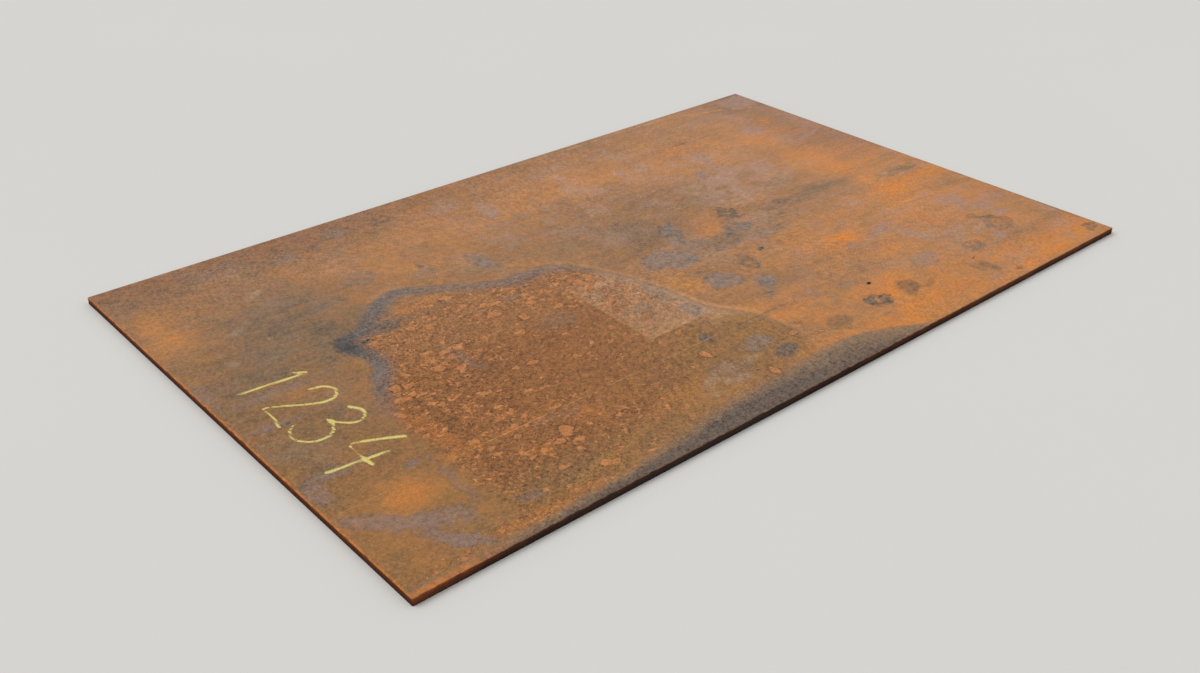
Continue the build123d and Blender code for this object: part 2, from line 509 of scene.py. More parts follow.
class FinishTree:
    """The node tree of a material or world, with a short call for each kind of node that it needs."""

    def __init__(self, owner):
        owner.use_nodes = True
        self.owner = owner
        self.tree = owner.node_tree
        self.tree.nodes.clear()

    def node(self, kind, settings=None, sockets=None, output=0):
        """Adds a node: its settings first, then the values or links of its sockets."""
        made = self.tree.nodes.new(kind)
        for name, value in (settings or {}).items():
            if name == "stops":
                self.set_stops(made.color_ramp, value)
            else:
                setattr(made, name, value)
        for key, value in (sockets or {}).items():
            if isinstance(value, Signal):
                self.tree.links.new(value.socket, made.inputs[key])
            else:
                made.inputs[key].default_value = value
        return Signal(self, made.outputs[output]) if len(made.outputs) else None

    @staticmethod
    def set_stops(ramp, stops):
        """Gives a colour ramp its stops: pairs of position and colour, in rising order."""
        ramp.elements.remove(ramp.elements[1])
        ramp.elements[0].position = stops[0][0]
        ramp.elements[0].color = full(stops[0][1])
        for position, colour in stops[1:]:
            ramp.elements.new(position).color = full(colour)

    def math(self, operation, *values):
        """A Math node on signals and numbers."""
        return self.node("ShaderNodeMath", {"operation": operation}, dict(enumerate(values)))

    def larger(self, first, second):
        """The larger of two values."""
        return self.math("MAXIMUM", first, second)

    def clamped(self, value):
        """The value, held between 0 and 1."""
        return self.node("ShaderNodeClamp", None, {0: value})

    def vector(self, operation, *values, output=0):
        """A Vector Math node."""
        sockets = dict(enumerate(values))
        return self.node("ShaderNodeVectorMath", {"operation": operation}, sockets, output)

    def scaled(self, vector, scale):
        """A vector times a number."""
        return self.node("ShaderNodeVectorMath", {"operation": "SCALE"}, {0: vector, 3: scale})

    def rise(self, value, low, high):
        """0 below low and 1 above high, with a soft slope between."""
        settings = {"interpolation_type": "SMOOTHSTEP"}
        return self.node("ShaderNodeMapRange", settings, {0: value, 1: low, 2: high})

    def bell(self, value, middle, reach):
        """1 where the value is at the middle, falling softly to 0 at the reach on either side."""
        return 1 - self.rise(self.math("ABSOLUTE", value - middle), 0.0, reach)

    def attribute(self, name):
        """A number that each vertex of the mesh holds."""
        settings = {"attribute_type": "GEOMETRY", "attribute_name": name}
        return self.node("ShaderNodeAttribute", settings, None, "Fac")

    def place(self):
        """Where the shaded point is, in metres."""
        return self.node("ShaderNodeTexCoord", None, None, "Object")

    def stretched(self, place, scale, turn=(0.0, 0.0, 0.0)):
        """The place, stretched for a pattern that runs along one direction."""
        return self.node("ShaderNodeMapping", None, {0: place, 2: turn, 3: scale})

    def noise(self, place, scale, detail=2.0, roughness=0.5, output="Fac"):
        """Cloudy noise of a given number of lumps a metre."""
        sockets = {"Vector": place, "Scale": scale, "Detail": detail, "Roughness": roughness}
        return self.node("ShaderNodeTexNoise", None, sockets, output)

    def swing(self, place, scale, detail=2.0, roughness=0.5):
        """The same noise, centred on 0 and reaching about 1 either way."""
        return (self.noise(place, scale, detail, roughness) - 0.5) * 4

    def patches(self, low, high, place, scale, detail=2.0, roughness=0.5):
        """Soft patches: 1 where the noise is above high, and 0 where it is below low."""
        return self.rise(self.noise(place, scale, detail, roughness), low, high)

    def streaks(self, place, counts, detail=2.0, roughness=0.5):
        """Noise drawn out along one direction, of a given number of lumps a metre each way."""
        return self.swing(self.stretched(place, counts), 1.0, detail, roughness)

    def cells(self, place, scale):
        """A mosaic of a given number of cells a metre.

        Gives the distance to the middle of a cell, and the cell's three random numbers.
        """
        sockets = {"Vector": place, "Scale": scale}
        away = self.node("ShaderNodeTexVoronoi", {"feature": "F1"}, sockets, "Distance")
        colour = Signal(self, away.socket.node.outputs["Color"])
        return away, self.parts(colour)

    def warped(self, place, scale, reach, detail=2.0):
        """The place, pushed about by noise as far as the reach."""
        cloud = self.noise(place, scale, detail, output="Color")
        push = self.vector("SUBTRACT", cloud, (0.5, 0.5, 0.5))
        return self.vector("ADD", place, self.scaled(push, reach * 4))

    def mixed(self, first, second, share):
        """One colour laid over another by a share, which the node holds between 0 and 1."""
        sockets = {0: share, 6: full(first), 7: full(second)}
        return self.node("ShaderNodeMix", {"data_type": "RGBA"}, sockets, 2)

    def ramp(self, value, stops):
        """A colour ramp over a value, which the node holds between 0 and 1."""
        return self.node("ShaderNodeValToRGB", {"stops": stops}, {0: value})

    def parts(self, vector):
        """The three numbers of a vector."""
        split = self.node("ShaderNodeSeparateXYZ", None, {0: vector})
        return [Signal(self, output) for output in split.socket.node.outputs]

    def finish(self, colour, roughness, height, specular):
        """Closes the material with one surface shader, and its relief in metres."""
        bump = self.node("ShaderNodeBump", None, {"Strength": 1.0, "Distance": 1.0, "Height": height})
        sockets = {
            "Base Color": colour,
            "Roughness": roughness,
            "Specular IOR Level": specular,
            "Normal": bump,
        }
        surface = self.node("ShaderNodeBsdfPrincipled", None, sockets)
        self.node("ShaderNodeOutputMaterial", None, {"Surface": surface})
        return self.owner


# Fields on the mesh: distances and strengths that each vertex holds for the material

# The noise that pushes outlines about: its seed, then its lumps a metre and its reach in metres
PUSH_SEED = 5
FAR_PUSH = (7.0, 0.014)
MIDDLING_PUSH = (13.0, 0.012)
NEAR_PUSH = (22.0, 0.004)

# How fast a soft zone fades, and how suddenly it does so near its rim
ZONE_FADE = 0.7
ZONE_CRISPNESS = 2.6

# How far outside a mark the distance to it is still told, in metres
FURTHEST_OUTSIDE = 0.05


def rounded_line(points, rounds=2):
    """A line with its corners cut off again and again, so that it runs smoothly."""
    line = np.array(points, dtype=float)
    for _ in range(rounds):
        start, end = line[:-1], line[1:]
        first_cut = start * 0.75 + end * 0.25
        second_cut = start * 0.25 + end * 0.75
        middle = np.stack([first_cut, second_cut], axis=1).reshape(-1, line.shape[1])
        line = np.vstack([line[:1], middle, line[-1:]])
    return line


def nearest_on_line(line, x, y):
    """For each vertex: its distance to the line, and the line's other values at the nearest point."""
    best = np.full(len(x), 1e9)
    carried = np.zeros((len(x), line.shape[1] - 2))
    for start, end in zip(line[:-1], line[1:]):
        run = end[:2] - start[:2]
        share = ((x - start[0]) * run[0] + (y - start[1]) * run[1]) / (run @ run)
        share = np.clip(share, 0.0, 1.0)
        away = np.hypot(x - start[0] - share * run[0], y - start[1] - share * run[1])
        nearer = away < best
        best[nearer] = away[nearer]
        values = start[2:] + share[:, None] * (end[2:] - start[2:])
        carried[nearer] = values[nearer]
    return best, carried


def inside_outline(line, x, y):
    """Whether each vertex lies inside the closed outline."""
    inside = np.zeros(len(x), dtype=bool)
    for start, end in zip(line, np.roll(line, -1, axis=0)):
        if start[1] == end[1]:
            continue
        spans = (start[1] > y) != (end[1] > y)
        crossing = start[0] + (y - start[1]) * (end[0] - start[0]) / (end[1] - start[1])
        inside ^= spans & (x < crossing)
    return inside


def depth_in_outline(points, x, y):
    """How far inside an outline each vertex lies, and the outline's other values there.

    The distance is negative outside.
    """
    line = rounded_line(points)
    away, carried = nearest_on_line(line, x, y)
    return np.where(inside_outline(line, x, y), away, -away), carried


def share_of_ellipse(mark, x, y):
    """0 at the middle of an ellipse, 1 on its rim and more outside."""
    centre_x, centre_y, half_length, half_width, turn, _ = mark
    angle = math.radians(turn)
    along = (x - centre_x) * math.cos(angle) + (y - centre_y) * math.sin(angle)
    across = (y - centre_y) * math.cos(angle) - (x - centre_x) * math.sin(angle)
    return np.hypot(along / half_length, across / half_width)


def deepest_mark(marks, x, y):
    """How deep each vertex lies in the nearest mark, in metres, and that mark's strength."""
    depth = np.full(len(x), -1.0)
    strength = np.zeros(len(x))
    for mark in marks:
        reach = (1 - share_of_ellipse(mark, x, y)) * min(mark[2], mark[3])
        deeper = reach > depth
        depth[deeper] = reach[deeper]
        strength[deeper] = mark[5]
    return np.maximum(depth, -FURTHEST_OUTSIDE), strength


def summed_zones(zones, x, y):
    """The sum of soft zones: each is full in its middle and fades out past its rim."""
    total = np.zeros(len(x))
    for zone in zones:
        total += zone[5] * np.exp(-ZONE_FADE * share_of_ellipse(zone, x, y) ** ZONE_CRISPNESS)
    return total


def wandering(places, scale, reach):
    """Vertex places pushed about by smooth noise, so that no mark has a drawn outline."""
    noise.seed_set(PUSH_SEED)
    pushed = np.empty((len(places), 2))
    for index, place in enumerate(places):
        spot = Vector(place) * scale
        push = noise.noise_vector(spot) + 0.5 * noise.noise_vector(spot * 2.3)
        pushed[index] = place[0] + push.x * reach, place[1] + push.y * reach
    return pushed[:, 0], pushed[:, 1]


def distance_to_writing(x, y):
    """How far each vertex is from the strokes of the written count."""
    start_x, start_y = WRITING_START
    nearest = np.full(len(x), 1e9)
    for stroke in PAINTED_STROKES:
        placed = in_metres(2, [(start_x + up, start_y - along) for along, up in stroke])
        away, _ = nearest_on_line(rounded_line(placed), x, y)
        nearest = np.minimum(nearest, away)
    return nearest


def outline_fields(near):
    """The fields of the puddle stain's outline and of the grey band along the front."""
    tide_depth, tide_values = depth_in_outline(STAIN_OUTLINE, *near)
    band_depth, _ = depth_in_outline(FRONT_BAND, *near)
    return {
        "tide_depth": tide_depth,
        "tide_width": tide_values[:, 0],
        "tide_darkness": tide_values[:, 1],
        "tide_paleness": tide_values[:, 2],
        "band_depth": band_depth,
    }


def zone_fields(far):
    """The fields of the broad zones."""
    return {
        "rust_zone": summed_zones(RUST_ZONES, *far),
        "bloom_zone": summed_zones(BLOOM_ZONES, *far),
        "fleck_zone": np.clip(summed_zones(FLECK_ZONES, *far), 0.0, 1.0),
        "fleck_spill": summed_zones(FLECK_SPILL, *far),
    }


def mark_fields(far, middling, near):
    """The depth and strength fields of each kind of mark."""
    kinds = {
        "patch": (RUST_PATCHES, far),
        "smear": (SMEARS, middling),
        "ring": (RINGS, middling),
        "spot": (DARK_SPOTS, near),
        "pale": (PALE_SPOTS, near),
    }
    fields = {}
    for kind, (marks, pushed) in kinds.items():
        depth, strength = deepest_mark(marks, *pushed)
        fields[f"{kind}_depth"] = depth
        fields[f"{kind}_strength"] = strength
    return fields


def store_fields(mesh):
    """Works out every field on the finished mesh and stores it there."""
    flat = np.empty(len(mesh.vertices) * 3, dtype=np.float32)
    mesh.vertices.foreach_get("co", flat)
    places = flat.reshape(-1, 3).astype(float)
    far = wandering(places, *FAR_PUSH)
    middling = wandering(places, *MIDDLING_PUSH)
    near = wandering(places, *NEAR_PUSH)
    fields = {
        **outline_fields(near),
        **zone_fields(far),
        **mark_fields(far, middling, near),
        "writing_away": distance_to_writing(places[:, 0], places[:, 1]),
    }
    for name, values in fields.items():
        field = mesh.attributes.new(name, "FLOAT", "POINT")
        field.data.foreach_set("value", values.astype(np.float32))


# Finishes

def rust_film(tree, place, zone, streakiness):
    """How thick the rust film is: 0 on bare mill scale, 1 on thick orange rust."""
    broad = tree.swing(place, 2.3, 3.0, 0.55)
    cloud = tree.swing(tree.warped(place, 6.0, 0.02), 9.0, 5.0, 0.62)
    clumps = tree.swing(tree.warped(place, 20.0, 0.008), 26.0, 3.0, 0.6)
    long_streaks = tree.streaks(place, (1.1, 14.0, 1.0), 4.0, 0.62)
    fine_streaks = tree.streaks(place, (6.0, 64.0, 1.0), 3.0, 0.65)
    film = 0.50 + zone + broad * 0.05 + cloud * 0.12 + clumps * 0.11
    film = film + long_streaks * (streakiness * 0.11)
    return film + fine_streaks * (streakiness * 0.09)


def film_colour(tree, film, colours):
    """The colour of the rust film over its thickness."""
    stops = [
        (0.00, colours.scale_grey),
        (0.18, FILM_FAINT),
        (0.34, FILM_THIN),
        (0.50, colours.film_brown),
        (0.66, FILM_WARM),
        (0.82, FILM_THICK),
        (1.00, colours.rust_orange),
    ]
    return tree.ramp(film, stops)


def streaked(tree, colour, place, amount):
    """The colour with the long light and dark streaks that rolling leaves along the plate."""
    shade = tree.streaks(place, (0.5, 8.0, 1.0), 3.0)
    shade = shade + tree.streaks(place, (2.4, 34.0, 1.0), 3.0, 0.6) * 0.8
    return tree.scaled(colour, 1 + shade * amount)


def drifting_hue(tree, colour, place):
    """The colour, turned a little to violet here and to olive there."""
    share = 0.5 + tree.swing(tree.warped(place, 14.0, 0.01, 1.0), 17.0, 4.0, 0.65) * 0.45
    tint = tree.mixed((1.03, 0.98, 1.06), (0.975, 1.015, 0.92), share)
    return tree.vector("MULTIPLY", colour, tint)


def grained(tree, colour, place, amount):
    """The colour with the fine salt and pepper of real scale."""
    shade = tree.swing(place, 260.0, 2.0, 0.6) + tree.swing(place, 130.0, 2.0, 0.6) * 2.0
    shade = shade + tree.swing(place, 66.0, 3.0, 0.6) * 1.1
    return tree.scaled(colour, tree.larger(1 + shade * amount, 0.3))


def scratch(tree, place, start_x, start_y, stop_x, stop_y, half_width):
    """1 on a straight line between two points, 0 beside it."""
    middle = ((start_x + stop_x) / 2, (start_y + stop_y) / 2, plate_thickness)
    turn = math.atan2(stop_y - start_y, stop_x - start_x)
    half_length = math.hypot(stop_x - start_x, stop_y - start_y) / 2
    sockets = {0: place, 1: middle, 2: (0.0, 0.0, turn)}
    local = tree.node("ShaderNodeMapping", {"vector_type": "TEXTURE"}, sockets)
    beyond = tree.vector("SUBTRACT", tree.vector("ABSOLUTE", local), (half_length, 0.0, 0.0))
    outside = tree.vector("LENGTH", tree.vector("MAXIMUM", beyond, (0.0, 0.0, 0.0)), output="Value")
    return 1 - tree.rise(outside, half_width * 0.5, half_width * 2)


def face_relief(tree, place):
    """The pitted skin of hot rolled steel, in metres."""
    pits = tree.noise(place, 420.0, 2.0, 0.65)
    lumps = tree.noise(place, 65.0, 2.0, 0.6)
    return pits * 0.00032 + lumps * 0.00030


def lay_blooms(tree, place, x, y, colours, colour):
    """Lays soft violet grey blooms of two sizes, more of them to the right and to the back."""
    cloud = tree.noise(tree.warped(place, 9.0, 0.03), 7.0, 6.0, 0.62)
    lean = tree.rise(x + y, -0.6, 0.9)
    gathered = tree.attribute("bloom_zone")
    cloud = cloud + gathered * 0.16
    tone = tree.mixed(colours.smear_violet, BACK_BLOOM, lean)
    share = tree.rise(cloud, 0.50, 0.66) * (0.12 + 0.46 * lean + tree.larger(gathered, 0.0) * 0.30)
    colour = tree.mixed(colour, tone, share)
    wisp = tree.noise(tree.warped(tree.stretched(place, (0.6, 1.3, 1.0)), 30.0, 0.012), 34.0, 4.0, 0.62)
    share = tree.rise(wisp, 0.48, 0.66) * (0.08 + 0.28 * lean)
    return tree.mixed(colour, tone, share)


def lay_bare_streaks(tree, place, x, colour):
    """Lays dark streaks of bare scale along the plate, where the right half has little rust."""
    lines = tree.streaks(place, (5.0, 66.0, 1.0), 4.0, 0.68)
    clouds = tree.swing(tree.stretched(place, (0.6, 1.6, 1.0)), 26.0, 4.0, 0.65)
    lines = lines + tree.streaks(place, (16.0, 170.0, 1.0), 3.0, 0.68) * 0.5
    bare = tree.rise(-tree.attribute("rust_zone"), 0.03, 0.24) * tree.rise(x, 0.0, 0.30)
    return tree.mixed(colour, BARE_STREAK, bare * (0.42 + lines * 0.64 + clouds * 0.40))


def lay_stain(tree, place, x, y, tide, film, colours, colour):
    """Lays the brown ground of the stain, olive towards the front, and the pale block at its right."""
    soft = 0.005 + 0.045 * tree.rise(-y, 0.28, 0.46) * (1 - tree.rise(x, -0.90, -0.80))
    inside = tree.rise(tide, soft * -0.4, soft * 2.2)
    ground = inside * (0.35 + 0.55 * tree.rise(y, -0.74, -0.50))
    lighter = film * 1.5 - 0.5 + tree.swing(place, 75.0, 4.0, 0.7) * 0.20
    stained = tree.mixed(colours.stain_brown, STAIN_LIGHT, lighter)
    upper = tree.rise(y, -0.20, 0.06) * 0.62
    stained = tree.mixed(stained, STAIN_UPPER, upper)
    olive = tree.mixed(OLIVE_DARK, OLIVE_LIGHT, lighter)
    near_right = tree.rise(x * 0.9 - y * 0.6, -0.24, 0.18) * 0.70
    stained = tree.mixed(stained, olive, tree.larger(near_right, tree.rise(-y, 0.55, 0.66) * 0.8))
    colour = tree.mixed(colour, stained, ground)
    block = tree.rise(x, BLOCK_LEFT - 0.004, BLOCK_LEFT + 0.004)
    block = block * tree.rise(y, BLOCK_FRONT - 0.006, BLOCK_FRONT + 0.006)
    block = block * (1 - tree.rise(y, -0.06, 0.04))
    block = tree.larger(block, tree.rise(x, -0.13, -0.05) * tree.rise(y, -0.44, -0.36) * 0.6) * inside
    dusty = 0.38 + tree.rise(x, -0.20, -0.05) * 0.26 + tree.swing(place, 18.0, 5.0, 0.7) * 0.42
    return tree.mixed(colour, PALE_BLOCK, block * tree.clamped(dusty))


def fleck_layer(tree, place, count, chance):
    """Irregular flecks: each cell of a mosaic holds one of random size, or none.

    Gives where they are, the painted shade in the gap around each one, and their tones.
    """
    away, picks = tree.cells(place, count)
    size = 0.18 + picks[2] * 0.40
    present = tree.rise(chance - picks[0], 0.0, 0.04)
    depth = size - away + tree.swing(place, count * 2.3, 1.0, 0.6) * 0.12
    # The dark gap round each fleck is painted shade
    gap = tree.bell(depth, -0.09, 0.13) * present
    return tree.rise(depth, -0.03, 0.06) * present, gap, picks[1]


def lay_flecks(tree, place, tide, colour):
    """Lays orange flecks of lifted scale in three sizes over painted shade in the crevices and in the
    gaps round them, and says where they are.
    """
    warped = tree.warped(tree.warped(place, 50.0, 0.007, 1.0), 170.0, 0.0030, 1.0)
    warped = tree.stretched(warped, (0.82, 1.15, 1.0))
    inside = tree.rise(tide, 0.004, 0.036)
    density = tree.attribute("fleck_zone") * inside + tree.attribute("fleck_spill")
    chance = density * (1 + tree.swing(place, 14.0, 1.0) * 0.6)
    small, small_gap_shade, tone = fleck_layer(tree, warped, 115.0, chance * 0.85)
    middling, middling_gap_shade, _ = fleck_layer(tree, warped, 56.0, chance * 0.62)
    large, large_gap_shade, _ = fleck_layer(tree, warped, 31.0, chance * 0.24)
    # The crevices and the gaps round the flecks are darkened as painted shade
    crevice_shade = 1 - tree.rise(tree.math("ABSOLUTE", tree.swing(warped, 80.0, 3.0, 0.6)), 0.02, 0.28)
    crevice_shade = crevice_shade * (inside * 0.26 + density * 0.40)
    dark = tree.larger(crevice_shade, tree.larger(middling_gap_shade, large_gap_shade) * 0.60)
    dark = tree.larger(dark, small_gap_shade * 0.42)
    colour = tree.mixed(colour, CREVICE_SHADE, dark)
    flecks = tree.larger(tree.larger(small * 0.75, middling), large)
    hue = tree.mixed(FLECK_DARK, FLECK_LIGHT, tone)
    uneven = 0.68 + tree.swing(place, 90.0, 3.0) * 0.26
    return tree.mixed(colour, hue, flecks * uneven), flecks


def lay_front_band(tree, place, x, film, colour):
    """Lays the bare grey band along the front edge, soft on the left and crisp on the right."""
    depth = tree.attribute("band_depth") + tree.swing(place, 26.0, 4.0, 0.65) * 0.005
    softness = 0.026 - tree.rise(x, -0.1, 0.2) * 0.019
    band = tree.rise(depth, -softness, softness)
    deepening = depth * (42 - 29 * tree.rise(x, -0.5, 0.1)) + (0.5 - film) * 0.6
    tone = tree.mixed(BAND_THIN, BAND_DEEP, deepening)
    return tree.mixed(colour, tone, band * 0.90)


def lay_tide_mark(tree, place, tide, colour):
    """Lays the grey band just inside the stain's outline and the pale line just outside it."""
    width = tree.attribute("tide_width")
    darkness = tree.attribute("tide_darkness")
    outer = tree.rise(tide, -0.013, 0.013)
    inner = 1 - tree.rise(tide, width * 0.45, width * 1.5)
    patchy = 1 + tree.swing(place, 24.0, 4.0, 0.65) * 0.22 + tree.swing(place, 90.0, 2.0, 0.6) * 0.12
    tone = tree.mixed(TIDE_THIN, TIDE_DEEP, tree.rise(darkness, 0.85, 1.15))
    colour = tree.mixed(colour, tone, outer * inner * darkness * patchy * 0.95)
    pale = tree.bell(tide, -0.009, 0.014) * tree.attribute("tide_paleness")
    return tree.mixed(colour, TIDE_HALO, pale * 0.45)


def lay_rust_patches(tree, mottle, ragged, colours, colour):
    """Lays the bright patches of fresh rust."""
    patch = tree.rise(tree.attribute("patch_depth") + ragged * 1.8, -0.016, 0.024)
    uneven = 0.80 + mottle * 0.35
    share = patch * tree.attribute("patch_strength") * uneven * 0.75
    return tree.mixed(colour, colours.rust_orange, share)


def smear_tone(tree, place, depth, grit, warmer, paler, colours):
    """The mottled violet grey of a smear, with its greyer core and the dirty line round it."""
    dirty = tree.patches(0.40, 0.64, place, 42.0, 4.0, 0.65)
    tone = tree.mixed(colours.smear_violet, SMEAR_DIRTY, dirty)
    core = tree.rise(depth, 0.008, 0.024) * tree.patches(0.44, 0.62, place, 22.0, 3.0)
    tone = tree.mixed(tone, SMEAR_CORE, core * 0.60)
    tone = tree.mixed(tone, SMEAR_WARM, warmer * 0.85)
    tone = tree.mixed(tone, SMEAR_PALE, paler * 0.80)
    tone = tree.scaled(tone, 1 + grit * 0.13)
    rim = tree.bell(depth, 0.003, 0.008) * tree.patches(0.44, 0.58, place, 30.0)
    return tree.mixed(tone, SMEAR_RIM, rim * (1 - paler * 0.7) * 0.62)


def lay_smears(tree, place, grit, ragged, warmer, paler, colours, colour):
    """Lays the wiped smears, warmer and crisper to the left and paler to the right."""
    wiped = tree.swing(tree.stretched(place, (0.7, 1.3, 1.0)), 34.0, 5.0, 0.72)
    depth = tree.attribute("smear_depth") + ragged + wiped * 0.003
    softness = 0.007 + tree.patches(0.42, 0.60, place, 9.0) * 0.010
    softness = softness * (1 - warmer * 0.45)
    smear = tree.rise(depth, -softness, softness * 1.2)
    patchy = 0.78 + wiped * 0.42 + grit * 0.22
    share = smear * tree.attribute("smear_strength") * patchy * (0.98 - warmer * 0.10)
    tone = smear_tone(tree, place, depth, grit, warmer, paler, colours)
    return tree.mixed(colour, tone, share)


def lay_pale_specks(tree, grit, ragged, colour):
    """Lays the pale specks of lime and dust."""
    pale = tree.rise(tree.attribute("pale_depth") + ragged * 0.8, -0.006, 0.006)
    speckled = 0.85 + grit * 0.55
    return tree.mixed(colour, LIME_SPECK, pale * tree.attribute("pale_strength") * speckled)


def lay_spots_and_rings(tree, place, x, mottle, grit, ragged, colour):
    """Lays the dark spots and the blotches with a rusty core."""
    patchy = 0.78 + mottle * 0.45
    spot = tree.rise(tree.attribute("spot_depth") + ragged * 0.9, -0.006, 0.007)
    share = tree.clamped(spot * tree.attribute("spot_strength") * patchy * 0.85)
    tone = tree.mixed(SPOT_GREY, SPOT_BROWN, tree.rise(x, 0.05, 0.15))
    colour = tree.mixed(colour, tone, share)
    depth = tree.attribute("ring_depth") + ragged * 1.2 + mottle * 0.006
    strength = tree.attribute("ring_strength") * (0.78 + tree.swing(place, 85.0, 4.0, 0.7) * 0.60)
    core = tree.rise(depth, 0.016, 0.027) * tree.patches(0.42, 0.58, place, 60.0, 3.0, 0.6)
    rusty = 0.42 + 0.30 * tree.rise(tree.attribute("ring_strength"), 0.9, 1.2)
    colour = tree.mixed(colour, RING_CORE, core * rusty)
    body = tree.rise(depth, -0.005, 0.007) * (1 - core * 0.75)
    colour = tree.mixed(colour, RING_BODY, body * strength * 0.74)
    line = tree.bell(depth, 0.005, 0.010) * tree.patches(0.44, 0.60, place, 34.0)
    colour = tree.mixed(colour, RING_LINE, line * strength * 0.45)
    rough = tree.larger(tree.clamped(body * strength), share)
    return tree.scaled(colour, 1 + grit * rough * 0.30)


def away_from_mark(tree, place, mark):
    """0 at the middle of a small mark, 1 on its rim and more outside."""
    middle_x, middle_y, half_length, half_width, turn, _ = mark
    centre = (middle_x, middle_y, plate_thickness)
    turned = (0.0, 0.0, math.radians(turn))
    sockets = {0: place, 1: centre, 2: turned, 3: (half_length, half_width, 1.0)}
    local = tree.node("ShaderNodeMapping", {"vector_type": "TEXTURE"}, sockets)
    return tree.vector("LENGTH", local, output="Value")


def lay_loose_flecks(tree, place, grit, colour):
    """Lays the single large flecks, each ringed by painted shade in the gap round it."""
    warped = tree.warped(place, 60.0, 0.005, 1.0)
    uneven = 0.74 + grit * 0.28
    for mark in LOOSE_FLECKS:
        away = away_from_mark(tree, warped, mark)
        # A dark ring of painted shade round each fleck
        colour = tree.mixed(colour, LOOSE_FLECK_SHADE, tree.bell(away, 1.12, 0.30) * 0.45)
        colour = tree.mixed(colour, LOOSE_FLECK, (1 - tree.rise(away, 0.80, 1.05)) * uneven * mark[5])
    return colour


def lay_points(tree, place, colour):
    """Lays the small black points."""
    for mark in BLACK_POINTS:
        away = away_from_mark(tree, place, mark)
        colour = tree.mixed(colour, BLACK_SCALE, (1 - tree.rise(away, 0.8, 1.3)) * mark[5])
    return colour


def lay_marks(tree, place, x, y, colours, colour):
    """Lays every mark, all with ragged rims."""
    mottle = tree.swing(place, 64.0, 3.0, 0.65)
    grit = tree.swing(place, 110.0, 3.0, 0.65)
    ragged = tree.swing(place, 30.0, 3.0, 0.6) * 0.009 + grit * 0.005
    paler = tree.larger(tree.rise(x, 0.45, 0.75), tree.rise(y, 0.34, 0.5) * tree.rise(x, -0.45, -0.15))
    warmer = 1 - tree.rise(x, -0.90, -0.62)
    colour = lay_rust_patches(tree, mottle, ragged, colours, colour)
    colour = lay_smears(tree, place, grit, ragged, warmer, paler, colours, colour)
    colour = lay_pale_specks(tree, grit, ragged, colour)
    colour = lay_spots_and_rings(tree, place, x, mottle, grit, ragged, colour)
    colour = lay_loose_flecks(tree, place, grit, colour)
    return lay_points(tree, place, colour)


def lay_scratches(tree, place, colour):
    """Lays the thin straight scratches, broken here and there."""
    gaps = tree.noise(tree.stretched(place, (16.0, 1.0, 1.0)), 1.0, 3.0)
    broken = 0.15 + 0.85 * tree.rise(gaps, 0.42, 0.58)
    for *line, strength in SCRATCHES:
        tone = SCRATCH_LIGHT if strength > 0 else SCRATCH_DARK
        line = scratch(tree, place, *line) * abs(strength)
        colour = tree.mixed(colour, tone, line * broken)
    return colour


def lay_rim_runs(tree, place, x, y, colour):
    """Lays the orange runs along the left rim and along the left part of the front rim."""
    uneven = 0.62 + tree.swing(place, 48.0, 4.0, 0.7) * 0.55
    left = (1 - tree.rise(x + end_x, 0.003, 0.007)) * (1 - 0.5 * tree.rise(y, 0.20, 0.45))
    front = (1 - tree.rise(y + side_y, 0.012, 0.022)) * (1 - tree.rise(x, -1.10, -0.94))
    return tree.mixed(colour, RIM_RUN, tree.larger(left * 0.85, front * 0.85) * uneven)


def lay_writing(tree, place, colours, colour):
    """Lays the count written in paint marker, worn through on the grain."""
    half_width = 0.0040 + tree.swing(place, 14.0) * 0.0016
    away = tree.attribute("writing_away") + tree.swing(place, 260.0) * 0.0012
    ink = 1 - tree.rise(away - half_width, -0.0016, 0.0012)
    worn = tree.patches(0.34, 0.50, place, 420.0, 3.0, 0.6)
    ink = ink * (0.45 + 0.55 * worn)
    return tree.mixed(colour, colours.paint_yellow, ink * 0.95)


def lay_sheen_and_corner_tints(tree, place, x, y, colour):
    """Lays a lighter pinkish tone towards the back and right as painted sheen, and tints three corners
    of the plate: the near left darker and browner as painted shade, the two far ones darker and bluer.
    """
    # A lighter pinkish tone towards the back and right, painted sheen
    sheen = tree.rise(x * 0.5 + y, -0.3, 0.9) * 0.16 + tree.rise(x, 0.1, 0.9) * 0.12
    sheen = sheen - tree.rise(x, 0.95, 1.12) * (1 - tree.rise(y, 0.0, 0.2)) * 0.12
    sheen = sheen + tree.swing(place, 5.0, 3.0) * 0.08
    colour = tree.mixed(colour, BACK_SHEEN, sheen)
    # Darker and browner towards the near left, painted shade
    near_left_shade = (1 - tree.rise(x, -1.0, 0.1)) * (1 - tree.rise(y, -0.4, 0.6))
    tint = tree.mixed((1.03, 1.02, 0.95), (0.865, 0.857, 0.685), near_left_shade)
    far_left = (1 - tree.rise(x, -0.5, 0.6)) * tree.rise(y, 0.52, 0.74)
    tint = tree.mixed(tint, (0.855, 0.82, 0.79), far_left)
    far_right = tree.rise(x, 0.96, 1.10) * tree.rise(y, 0.02, 0.16)
    far_right = far_right * (1 - 0.35 * tree.rise(y, 0.30, 0.50))
    tint = tree.mixed(tint, (0.81, 0.84, 0.94), far_right)
    return tree.vector("MULTIPLY", colour, tint)


def grain_amount(tree, place, x, y, tide, colour):
    """How strong the grain is: more on dark ground, in the stain and at the back on the left."""
    lightness = tree.vector("DOT_PRODUCT", colour, (0.3, 0.6, 0.1), output="Value")
    amount = 0.092 + 0.120 * (1 - tree.rise(lightness, 0.10, 0.21))
    amount = amount + 0.042 * tree.rise(tide, 0.0, 0.03)
    amount = amount + 0.035 * tree.patches(0.46, 0.62, place, 3.0, 3.0)
    amount = amount + 0.05 * tree.rise(y, 0.40, 0.62) * (1 - tree.rise(x, 0.0, 0.6))
    return amount - 0.022 * tree.rise(x, 0.70, 1.00)


